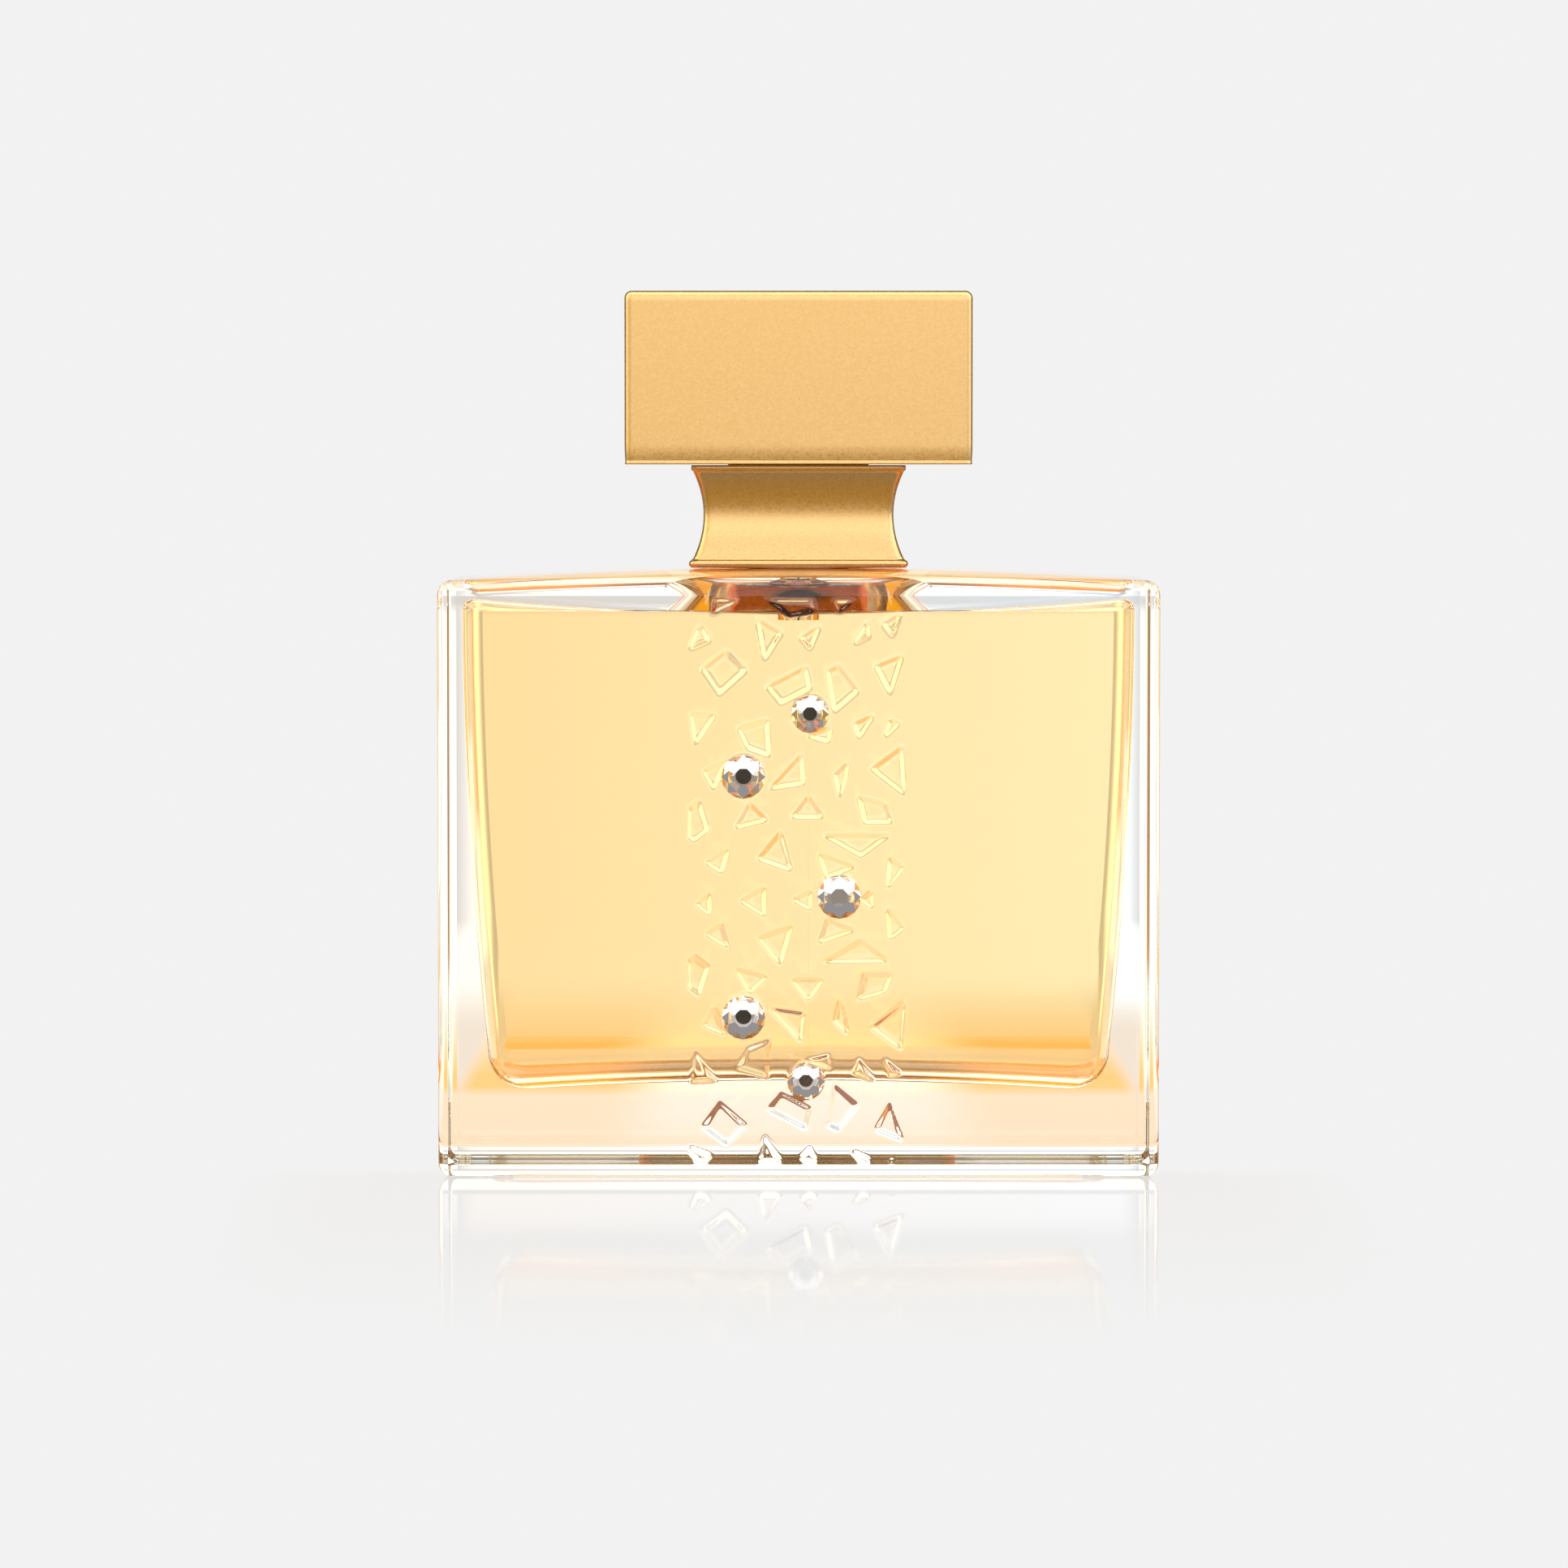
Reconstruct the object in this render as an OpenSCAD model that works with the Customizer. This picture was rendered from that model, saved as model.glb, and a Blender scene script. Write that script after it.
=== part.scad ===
// Perfume bottle: a heavy rectangular glass flacon with a relief of glass shards and five
// flat-back crystals, a crimped spray pump, a coved metal collar and a lift-off block cap.
// Millimetres. The origin is the middle of the base, +Z is up and the front faces -Y.

/* [Glass] */
// Width of the glass body
glass_w = 89; // [86:0.5:94]
// Depth of the glass body, without the relief
glass_d = 34; // [33:0.5:38]
// Height of the glass body at the collar
glass_h = 75; // [73:0.5:78]
// Thickness of the solid base
base_t = 10; // [8:0.5:12]
// Thickness of the front and back walls
wall_t = 5.2; // [4.5:0.1:6]
// Thickness of the shoulder over the chamber
shoulder_t = 3.6; // [3:0.1:4.5]
// How far the shoulder falls from the collar to the corners
crown = 1.4; // [1:0.1:1.8]

/* [Relief] */
// How far the shards stand out of the front face
shard_h = 0.5; // [0.3:0.1:0.8]
// Height of the crystals as a share of their diameter
crystal_ratio = 0.36; // [0.3:0.01:0.45]

/* [Collar] */
// Width of the collar over its base bead
collar_w = 27.2; // [26.8:0.1:29]
// Depth of the collar over its base bead
collar_d = 22; // [22:0.1:23]
// Depth of the cove around the collar
cove = 1.3; // [1:0.1:1.4]

/* [Cap] */
// Width of the cap
cap_w = 43; // [40:0.5:48]
// Depth of the cap
cap_d = 26; // [25:0.5:30]
// Height of the cap
cap_h = 21.4; // [21.2:0.1:24]
// Wall of the cast cap shell
cap_wall = 1.8; // [1.2:0.1:1.8]

/* [Pump] */
// Stroke of the actuator
stroke = 4.5; // [3:0.1:4.5]
// Turns of the return spring
spring_turns = 5; // [4:0.5:5]

/* [Hidden] */

$fn = 64;
eps = 0.01;         // overlap that makes unions and cuts clean
fit_gap = 0.05;     // running clearance between pieces that move on each other
far = 200;          // longer than anything, for cutting blocks

// Glass body
corner_r = 1.2;     // vertical edges
edge_r = 1.7;       // top and bottom edges
front_y = -glass_d / 2;
flat_half = 11.2;   // half depth of the level landing that the collar stands on
front_drop = 1.4;   // fall of the shoulder from the landing to the front edge

// Chamber
ceiling_z = glass_h - shoulder_t;
chamber_top_w = glass_w - 6;
chamber_low_w = glass_w - 12;
chamber_d = glass_d - 2 * wall_t;
chamber_r = 5.5;
side_sag = 0.7;     // bulge of the chamber's sides over their height
floor_rise = 1.4;   // hump in the middle of the chamber's floor
fill_gap = 0.08;    // keeps the liquid's solid off the glass
funnel_x = 16.5;    // half width and half depth of the funnel that leads up to the neck
funnel_y = 11.2;
funnel_top_x = 12;
funnel_top_y = 6.4;
funnel_z = ceiling_z - 2;
funnel_h = 4.1;

// Neck with a crimp bead
bore_r = 4.8;
neck_r = 6.4;
bead_r = 7.4;
neck_top = glass_h + 8;
bead_h = 3.2;

// Pump, stacked from the neck's rim
gasket_h = 0.8;
flange_r = 6.7;
flange_z = neck_top + gasket_h;
flange_h = 0.8;
housing_top = flange_z + flange_h;
housing_r = 4.3;
housing_bore = 2.9;
nose_r = 2.6;
nose_z = glass_h - 6.5;
cone_z = glass_h - 2.5;
tube_r = 1.3;
tube_bore = 0.7;
tube_top = nose_z + 3.3;
seat_z = tube_top + 0.6;
seat_low_r = 0.7;
seat_top_r = 1.5;
seat_h = 1;
ball_r = 1.15;
ball_lift = 0.6;
seat_angle = atan((seat_top_r - seat_low_r) / seat_h);
ball_z = seat_z - seat_low_r / tan(seat_angle) + ball_r / sin(seat_angle) + 0.02;
ledge_z = glass_h + 0.5;
lip_r = 0.9;
lip_h = 0.3;
piston_h = 1.8;
piston_z = housing_top - 2;
stem_r = 1.6;
stem_bore = 0.7;
stem_top = glass_h + 22.3;
tail_r = 1.85;
tail_h = 0.8;
seal_h = 0.6;
seal_r = 3.8;
turret_z = housing_top;
turret_plate = 1;
hub_r = 3.6;
hub_top = turret_z + 3.6;
ferrule_wall = 0.35;
ferrule_r = bead_r + 0.05 + ferrule_wall;
ferrule_top = turret_z + turret_plate + ferrule_wall;
wire_r = 0.2;
coil_r = 2.2;

// Collar
collar_z = glass_h + 0.1;
collar_top = glass_h + 12.8;
collar_bead = 1;      // height of the round bead at the foot
collar_lip = 0.7;     // height of the flange under the cap
collar_corner = 1;
insert_wall = 0.7;
insert_r = ferrule_r + insert_wall;
insert_top = ferrule_top + 0.65;
spigot_r = 8.8;
spigot_bore = 7.8;
spigot_top = collar_top + 4.2;

// Actuator
actuator_r = 7.4;
cover_wall = 0.5;
actuator_z = collar_top + 3;
actuator_top = glass_h + 26.5;
nozzle_z = glass_h + 21.5;
nozzle_r = 1.9;
nozzle_l = 3.4;

// Cap
cap_z = collar_top + 0.1;
cap_top = cap_z + cap_h;
cap_edge = 0.9;
liner_z = cap_z + 0.15;
liner_plate = 1.4;
liner_r = 10.2;
liner_bore = 8.3;
liner_rib = 1.2;
liner_top = cap_top - cap_wall;
liner_ceiling = liner_top - 1;

// Shards of the relief, as outlines [x, z] from the middle of the panel. The panel repeats
// them upside down, so that its lower half mirrors its upper half.
panel_z = 0.46 * glass_h;
upper_shards = [
    [[-12.2, 34], [-10.6, 31.7], [-13.7, 30.4]],
    [[-8.8, 31.2], [-5.7, 28.1], [-9.9, 24.3], [-12.6, 28.3]],
    [[-5.4, 35], [-1.7, 32.8], [-4.3, 28.6]],
    [[2.8, 33.9], [1.4, 30.3], [0, 32.1]],
    [[8.7, 34.4], [8.8, 32.2], [6.5, 31]],
    [[12.6, 35.3], [11.6, 31.9], [10.1, 33.8]],
    [[-4.7, 26], [1.4, 29.2], [2.2, 25.9], [-2.6, 23.4]],
    [[4.8, 29.4], [8, 25.3], [4.2, 22], [3.1, 28.5]],
    [[9, 28.8], [13.2, 30.5], [11.3, 24.4]],
    [[-13.6, 23.1], [-9.8, 22.9], [-12.9, 18.3]],
    [[-8.1, 21.3], [-3.4, 22.7], [-3.1, 16.9], [-6.6, 18.2]],
    [[0.6, 20], [4.2, 21.3], [4, 19.1]],
    [[6.6, 21.6], [9.6, 22.9], [7.3, 19.3]],
    [[11.3, 22.2], [12.7, 21.8], [10.3, 19.4]],
    [[-12.1, 15.8], [-8.6, 17.3], [-10.5, 12.9]],
    [[0.7, 18.5], [1.1, 13.9], [-4.3, 13.1]],
    [[6.3, 17.4], [5.9, 14.7], [5, 11.8], [4.2, 15.3]],
    [[13, 19.5], [13.5, 11.9], [8.2, 16]],
    [[6.8, 13], [11, 11.8], [12.1, 9], [7.7, 9]],
    [[-12.2, 12.8], [-10.7, 8.2], [-13, 6.5], [-13.7, 6.9], [-13.7, 11.6]],
    [[-6.1, 12.2], [-3.3, 9.6], [-8.3, 8.3]],
    [[1.2, 13.1], [3.6, 9.8], [-1.4, 9.8]],
    [[-2.1, 9], [-0.3, 2.8], [-5.7, 4.7]],
    [[1.8, 8.1], [12.3, 8], [7.8, 4.7]],
    [[-8.3, 6.5], [-9.4, 2.8], [-11.9, 4.4]],
    [[2, 5.9], [7.7, 3.9], [3.2, 2.2]],
    [[11.1, 5.5], [13.3, 3.9], [10.7, 0.6]]
];
middle_shards = [
    [[-10.9, 1], [-10.8, -2.4], [-12.9, -0.8]],
    [[-3.9, 1.9], [-3.9, -2.7], [-7.8, -0.3]],
    [[1.7, 1.3], [1.7, -1.7], [-1.1, -0.2]],
    [[9.1, 1.2], [9.3, -1.5], [7.4, -0.2]]
];
crest_shards = [
    [[-10.6, 36.9], [-6.8, 36.9], [-10.9, 34.9]],
    [[-4.8, 37], [2.2, 36.9], [2.6, 35.3], [-1.4, 34.5]],
    [[4, 36.7], [7.1, 36.7], [4.9, 35.1]]
];
shard_root = 0.3;   // how far a shard reaches into the wall
shard_top = 0.6;    // a shard's flat top as a share of its outline
shard_low_z = 2;    // shards end where the base edge starts to round

// Crystals as [x, z from the middle of the panel, diameter]
crystals = [[1.4, 22.7, 4.3], [-6.8, 15, 5], [5, 0.2, 5], [-6.8, -14.7, 5], [0.9, -22.6, 4.3]];
seat_depth = 0.15;  // the crystals lie in shallow round seats
foil_t = 0.1;

function sum(v, i = 0) = i < len(v) ? v[i] + sum(v, i + 1) : [0, 0];
function middle(v) = sum(v) / len(v);
function arc(c, r, a, b, n) = [for (i = [0:n]) c + r * [cos(a + (b - a) * i / n), sin(a + (b - a) * i / n)]];
function sagitta_r(half, sag) = (half * half + sag * sag) / (2 * sag);

module rounded_rect(w, d, r) {
    square([w - 2 * r, d], center = true);
    square([w, d - 2 * r], center = true);
    for (x = [-1, 1], y = [-1, 1])
        translate([x * (w / 2 - r), y * (d / 2 - r)]) circle(r);
}

// A 2D outline in X and Z, extruded along Y to both sides
module across_y(d) rotate([90, 0, 0]) translate([0, 0, -d / 2]) linear_extrude(d) children();

// A 2D outline in Y and Z, extruded along X to both sides
module across_x(w) rotate([90, 0, 90]) translate([0, 0, -w / 2]) linear_extrude(w) children();

module tube(outer, inner, z0, z1) {
    translate([0, 0, z0]) difference() {
        cylinder(r = outer, h = z1 - z0);
        translate([0, 0, -1]) cylinder(r = inner, h = z1 - z0 + 2);
    }
}

module bore(r, z0, z1) translate([0, 0, z0]) cylinder(r = r, h = z1 - z0);

// ---- Glass ----

// Front view of the body: round corners and a top that rises to the middle
module body_front() {
    side_top = glass_h - crown;
    polygon(concat(
        arc([glass_w / 2 - edge_r, edge_r], edge_r, -90, 0, 6),
        arc([glass_w / 2 - edge_r, side_top - edge_r], edge_r, 0, 84, 6),
        [for (i = [-8:8]) let (x = -i / 9 * (glass_w / 2 - edge_r))
            [x, glass_h - crown * pow(x / (glass_w / 2), 2)]],
        arc([edge_r - glass_w / 2, side_top - edge_r], edge_r, 96, 180, 6),
        arc([edge_r - glass_w / 2, edge_r], edge_r, 180, 270, 6)));
}

// Side view of the body: a level landing for the collar, then a fall to the front and back
module body_side() {
    fall = glass_d / 2 - flat_half;
    turn = 2 * atan(front_drop / fall);
    r = fall / sin(turn);
    polygon(concat(
        arc([glass_d / 2 - edge_r, edge_r], edge_r, -90, 0, 6),
        arc([glass_d / 2 - edge_r, glass_h - front_drop - edge_r], edge_r, 0, 90 - turn, 4),
        arc([flat_half, glass_h - r], r, 90 - turn * 0.7, 90, 4),
        arc([-flat_half, glass_h - r], r, 90, 90 + turn * 0.7, 4),
        arc([edge_r - glass_d / 2, glass_h - front_drop - edge_r], edge_r, 90 + turn, 180, 4),
        arc([edge_r - glass_d / 2, edge_r], edge_r, 180, 270, 6)));
}

module glass_body() intersection() {
    linear_extrude(glass_h + 1) rounded_rect(glass_w, glass_d, corner_r);
    across_y(far) body_front();
    across_x(far) body_side();
}

// Front view of the chamber: sides that lean in to the base, a humped floor, a dished ceiling
module chamber_front(gap) {
    top = chamber_top_w / 2 - gap;
    low = chamber_low_w / 2 - gap;
    r = chamber_r;
    floor_z = base_t + gap;
    roof_z = ceiling_z + 0.4 - gap;
    polygon(concat(
        arc([low - r, floor_z + r], r, -90, -8, 6),
        [for (i = [1:5]) let (t = i / 6)
            [low + (top - low) * t + side_sag * 4 * t * (1 - t), floor_z + r + (roof_z - floor_z - r) * t]],
        [[top, roof_z - 0.8], [top - 0.8, roof_z]],
        [[0.7 * top, roof_z - 1.1], [funnel_x + 1, funnel_z - gap]],
        [[-funnel_x - 1, funnel_z - gap], [-0.7 * top, roof_z - 1.1]],
        [[0.8 - top, roof_z], [-top, roof_z - 0.8]],
        [for (i = [5:-1:1]) let (t = i / 6)
            [-low - (top - low) * t - side_sag * 4 * t * (1 - t), floor_z + r + (roof_z - floor_z - r) * t]],
        arc([r - low, floor_z + r], r, 188, 270, 6),
        [for (i = [-3:3]) [i / 4 * (low - r), floor_z + floor_rise * (1 - pow(i / 4, 2))]]));
}

module chamber_side(gap) {
    half = chamber_d / 2 - gap;
    r = chamber_r - gap;
    polygon(concat(
        arc([half - r, base_t + gap + r], r, -90, 0, 6),
        arc([half - 3, ceiling_z + 0.4 - gap - 3], 3, 0, 90, 4),
        arc([3 - half, ceiling_z + 0.4 - gap - 3], 3, 90, 180, 4),
        arc([r - half, base_t + gap + r], r, 180, 270, 6)));
}

module chamber(gap) intersection() {
    linear_extrude(glass_h) rounded_rect(chamber_top_w + 1, chamber_d - 2 * gap, 4);
    across_y(far) chamber_front(gap);
    across_x(far) chamber_side(gap);
}

// The air space over the liquid: an oval hollow that narrows upwards to the neck's bore
module funnel() translate([0, 0, funnel_z - eps])
    linear_extrude(funnel_h, scale = [funnel_top_x / funnel_x, funnel_top_y / funnel_y], slices = 1)
        scale([funnel_x, funnel_y]) circle(1, $fn = 32);

module neck() {
    bore(neck_r, glass_h - 2, neck_top - 1);
    rotate_extrude() polygon(concat(
        [[bore_r - 0.5, neck_top - bead_h], [neck_r - 0.5, neck_top - bead_h - 0.8]],
        [[neck_r, neck_top - bead_h - 0.8]],
        [[bead_r, neck_top - bead_h + 0.2], [bead_r, neck_top - 0.9]],
        [[bead_r - 0.9, neck_top], [bore_r - 0.5, neck_top]]));
}

// One shard: an outline that stands out of the front face and narrows to a flat top
module shard(outline) {
    c = middle(outline);
    h = shard_h + shard_root;
    translate([c[0], front_y + shard_root, panel_z + c[1]]) rotate([90, 0, 0])
        linear_extrude(h, scale = shard_top) polygon([for (p = outline) p - c]);
}

module relief() intersection() {
    union() {
        for (s = concat(upper_shards, middle_shards, crest_shards)) shard(s);
        for (s = upper_shards) shard([for (p = s) [p[0], -p[1]]]);
    }
    translate([-far / 2, front_y - 5, shard_low_z]) cube([far, 10, far]);
}

module crystal_seats(depth) {
    for (c = crystals)
        translate([c[0], front_y + depth, panel_z + c[1]]) rotate([90, 0, 0])
            cylinder(d = c[2] + 0.2, h = 5);
}

module glass_bottle() color([0.93, 0.94, 0.92, 0.4]) difference() {
    union() {
        glass_body();
        neck();
        relief();
    }
    chamber(0);
    funnel();
    bore(bore_r, funnel_z + 2, neck_top + 1);
    crystal_seats(seat_depth);
}

module perfume() color([1, 0.8, 0.42, 0.7]) difference() {
    chamber(fill_gap);
    bore(housing_r + fill_gap, cone_z - eps, glass_h + 1);
    translate([0, 0, cone_z - 2])
        cylinder(r1 = nose_r + fill_gap, r2 = housing_r + fill_gap, h = 2 + eps);
    bore(nose_r + fill_gap, nose_z - fill_gap, glass_h);
    bore(tube_r + fill_gap, base_t, glass_h);
}

// ---- Crystals ----

// A flat-back stone: a thin girdle, a ring of small facets, a ring of large ones and a table
module crystal(i) {
    d = crystals[i][2];
    h = d * crystal_ratio;
    girdle = 0.25;
    tier = (h - girdle) / 2;
    color([0.95, 0.95, 0.97])
        translate([crystals[i][0], front_y + seat_depth - foil_t, panel_z + crystals[i][1]])
            rotate([90, 0, 0]) {
                cylinder(d = d, h = girdle);
                translate([0, 0, girdle]) cylinder(d1 = d, d2 = 0.78 * d, h = tier + eps);
                translate([0, 0, girdle + tier]) rotate(22.5)
                    cylinder(d1 = 0.78 * d, d2 = 0.42 * d, h = tier, $fn = 8);
            }
}

module crystal_foils() color([0.75, 0.75, 0.77])
    for (c = crystals)
        translate([c[0], front_y + seat_depth, panel_z + c[1]]) rotate([90, 0, 0])
            cylinder(d = c[2] - 0.1, h = foil_t);

// ---- Pump ----

module neck_gasket() color([0.92, 0.92, 0.9]) tube(bead_r - 0.9, housing_r + 0.1, neck_top, flange_z);

module pump_housing() color([0.96, 0.96, 0.95]) difference() {
    union() {
        bore(flange_r, flange_z, housing_top);
        bore(housing_r, cone_z, flange_z + eps);
        translate([0, 0, cone_z - 2]) cylinder(r1 = nose_r, r2 = housing_r, h = 2);
        bore(nose_r, nose_z, cone_z - 2 + eps);
    }
    bore(housing_bore, ledge_z, housing_top + 1);
    bore(lip_r, ledge_z - 1, ledge_z + 1);
    bore(seat_top_r, seat_z + seat_h, ledge_z - lip_h);
    translate([0, 0, seat_z]) cylinder(r1 = seat_low_r, r2 = seat_top_r, h = seat_h);
    bore(seat_low_r, tube_top - 0.5, seat_z + eps);
    bore(tube_r, nose_z - 1, tube_top);
}

// The foot is cut on a slant, so that it can't seal itself against the chamber's floor
module dip_tube() color([0.9, 0.93, 0.95, 0.5]) difference() {
    tube(tube_r, tube_bore, base_t + floor_rise + 0.8, tube_top);
    translate([0, 0, base_t + floor_rise + 0.8]) rotate([30, 0, 0])
        translate([0, 0, -5]) cube([10, 10, 10], center = true);
}

module check_ball() color([0.8, 0.8, 0.82]) translate([0, 0, ball_z]) sphere(ball_r);

// A wire swept round a coil: rings of points along the helix, joined ring to ring
module return_spring() {
    sides = 6;
    steps = 14;
    low = ledge_z + wire_r + 0.02;
    high = piston_z - wire_r - 0.02;
    n = floor(spring_turns * steps);
    points = [for (i = [0:n], k = [0:sides - 1])
        let (a = 360 * i / steps, b = 360 * k / sides, r = coil_r + wire_r * cos(b))
        [r * cos(a), r * sin(a), low + (high - low) * i / n + wire_r * sin(b)]];
    walls = [for (i = [0:n - 1], k = [0:sides - 1]) let (m = (k + 1) % sides)
        [i * sides + k, i * sides + m, (i + 1) * sides + m, (i + 1) * sides + k]];
    ends = [[for (k = [sides - 1:-1:0]) k], [for (k = [0:sides - 1]) n * sides + k]];
    color([0.78, 0.79, 0.8]) polyhedron(points, concat(walls, ends));
}

module piston() color([0.9, 0.9, 0.92]) difference() {
    tube(housing_bore - 0.02, stem_r + fit_gap, piston_z, piston_z + piston_h);
    translate([0, 0, piston_z + 0.5]) difference() {
        cylinder(r = housing_bore + 1, h = piston_h - 1);
        translate([0, 0, -1]) cylinder(r = housing_bore - 0.35, h = piston_h + 2);
    }
}

module stem() color([0.96, 0.96, 0.95]) difference() {
    union() {
        bore(stem_r, piston_z - 0.4, stem_top);
        bore(tail_r, piston_z - fit_gap - tail_h, piston_z - fit_gap);
    }
    bore(stem_bore, piston_z + 0.3, stem_top + 1);
    translate([0, 0, piston_z + 0.9]) rotate([90, 0, 0]) cylinder(r = 0.35, h = 10, center = true);
}

module stem_seal() color([0.25, 0.25, 0.27])
    tube(seal_r, stem_r + 0.03, housing_top, housing_top + seal_h);

module pump_turret() color([0.96, 0.96, 0.95]) difference() {
    union() {
        bore(flange_r, turret_z, turret_z + turret_plate);
        bore(hub_r, turret_z, hub_top);
    }
    bore(seal_r, turret_z - 1, turret_z + seal_h);
    bore(stem_r + fit_gap, turret_z - 1, hub_top + 1);
}

// The aluminium cup is rolled in under the neck's bead, which clamps the pump to the glass
module ferrule() color([0.85, 0.72, 0.42]) difference() {
    bore(ferrule_r, neck_top - bead_h - 1.3, ferrule_top);
    bore(ferrule_r - ferrule_wall, neck_top - bead_h - 0.8, ferrule_top - ferrule_wall);
    bore(neck_r + 0.15, neck_top - bead_h - 2, neck_top);
    bore(hub_r + 0.1, ferrule_top - 1, ferrule_top + 1);
}

// ---- Collar ----

// One side of the collar's outline, [half width, z], from the foot up
function collar_side(half) = concat(
    [[half - 0.3, collar_z]],
    arc([half - collar_bead / 2, collar_z + collar_bead / 2], collar_bead / 2, -60, 60, 5),
    let (z0 = collar_z + collar_bead + 0.1, z1 = collar_top - collar_lip, rise = (z1 - z0) / 2)
    [for (i = [-8:8]) let (t = i / 8) [half - 0.5 - cove * (1 - t * t), z0 + rise * (1 + t)]],
    [[half - 0.45, collar_top - collar_lip], [half - 0.3, collar_top - 0.4], [half - 0.3, collar_top]]);

module collar_outline(half) {
    side = collar_side(half);
    polygon(concat(side, [for (i = [len(side) - 1:-1:0]) [-side[i][0], side[i][1]]]));
}

module collar_shell() color([0.85, 0.66, 0.36]) difference() {
    union() {
        intersection() {
            linear_extrude(collar_top + 1) rounded_rect(collar_w, collar_d, collar_corner);
            across_y(far) collar_outline(collar_w / 2);
            across_x(far) collar_outline(collar_d / 2);
        }
        bore(spigot_r, collar_top - 1, spigot_top);
    }
    bore(insert_r, collar_z - 1, insert_top);
    bore(spigot_bore, insert_top - 1, spigot_top + 1);
}

// The plastic ring grips the ferrule and catches under it with a bead
module collar_insert() color([0.93, 0.93, 0.9]) difference() {
    bore(insert_r, collar_z + 0.9, insert_top);
    bore(ferrule_r, neck_top - bead_h - 1.3, insert_top + 1);
    bore(neck_r + 0.6, collar_z, neck_top);
}

// ---- Actuator ----

module nozzle_bore(r, from, to) translate([0, to, nozzle_z]) rotate([90, 0, 0])
    cylinder(r = r, h = to - from);

module actuator_body() color([0.96, 0.96, 0.95]) difference() {
    bore(actuator_r - cover_wall, actuator_z + 0.6, actuator_top - cover_wall);
    bore(hub_r + 0.5, actuator_z, hub_top + stroke + 0.6);
    bore(stem_r, actuator_z, stem_top);
    nozzle_bore(nozzle_r, -actuator_r - 1, nozzle_l - actuator_r + 0.4);
    nozzle_bore(0.5, -actuator_r, 0);
}

module actuator_cover() color([0.86, 0.68, 0.38]) difference() {
    bore(actuator_r, actuator_z, actuator_top);
    bore(actuator_r - cover_wall, actuator_z - 1, actuator_top - cover_wall);
    nozzle_bore(nozzle_r + 0.2, -actuator_r - 1, 0);
}

module nozzle_insert() color([0.2, 0.2, 0.2]) difference() {
    nozzle_bore(nozzle_r, 0.35 - actuator_r, nozzle_l - actuator_r + 0.4);
    nozzle_bore(0.15, -actuator_r - 1, 0);
    nozzle_bore(1.2, 1.2 - actuator_r, nozzle_l - actuator_r + 1);
    nozzle_bore(0.9, -actuator_r - 1, 0.65 - actuator_r);
}

// ---- Cap ----

// A block outline with its lower edge on z = 0 and round upper corners
module cap_outline(w, h, r) {
    translate([-w / 2, 0]) square([w, h - r]);
    translate([r - w / 2, 0]) square([w - 2 * r, h]);
    for (x = [-1, 1]) translate([x * (w / 2 - r), h - r]) circle(r);
}

module cap_shell() color([0.86, 0.69, 0.4]) difference() {
    translate([0, 0, cap_z]) intersection() {
        linear_extrude(cap_h + 1) rounded_rect(cap_w, cap_d, cap_edge);
        across_y(far) cap_outline(cap_w, cap_h, cap_edge);
        across_x(far) cap_outline(cap_d, cap_h, cap_edge);
    }
    translate([0, 0, cap_z - 1]) linear_extrude(cap_h - cap_wall + 1)
        rounded_rect(cap_w - 2 * cap_wall, cap_d - 2 * cap_wall, 0.6);
}

// The moulded carrier in the cap: a plate that closes the mouth, a socket and four ribs
module cap_liner() color([0.95, 0.95, 0.93]) difference() {
    union() {
        translate([0, 0, liner_z]) linear_extrude(liner_plate)
            rounded_rect(cap_w - 2 * cap_wall, cap_d - 2 * cap_wall, 0.6);
        bore(liner_r, liner_z, liner_top);
        translate([0, 0, (liner_z + liner_top) / 2]) {
            cube([cap_w - 2 * cap_wall, liner_rib, liner_top - liner_z], center = true);
            cube([liner_rib, cap_d - 2 * cap_wall, liner_top - liner_z], center = true);
        }
    }
    bore(spigot_r + fit_gap, liner_z - 1, spigot_top + 0.4);
    bore(liner_bore, liner_z, liner_ceiling);
}

glass_bottle();
perfume();
for (i = [0:len(crystals) - 1])
    crystal(i);
crystal_foils();
neck_gasket();
pump_housing();
dip_tube();
check_ball();
return_spring();
piston();
stem();
stem_seal();
pump_turret();
ferrule();
collar_insert();
collar_shell();
actuator_body();
actuator_cover();
nozzle_insert();
cap_shell();
cap_liner();
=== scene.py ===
"""Looks for the perfume bottle: glass, perfume, crystals, satin-gold cap and collar, and the studio round them."""
import math

import bpy
import numpy as np
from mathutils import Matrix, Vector
from mathutils.bvhtree import BVHTree


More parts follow.
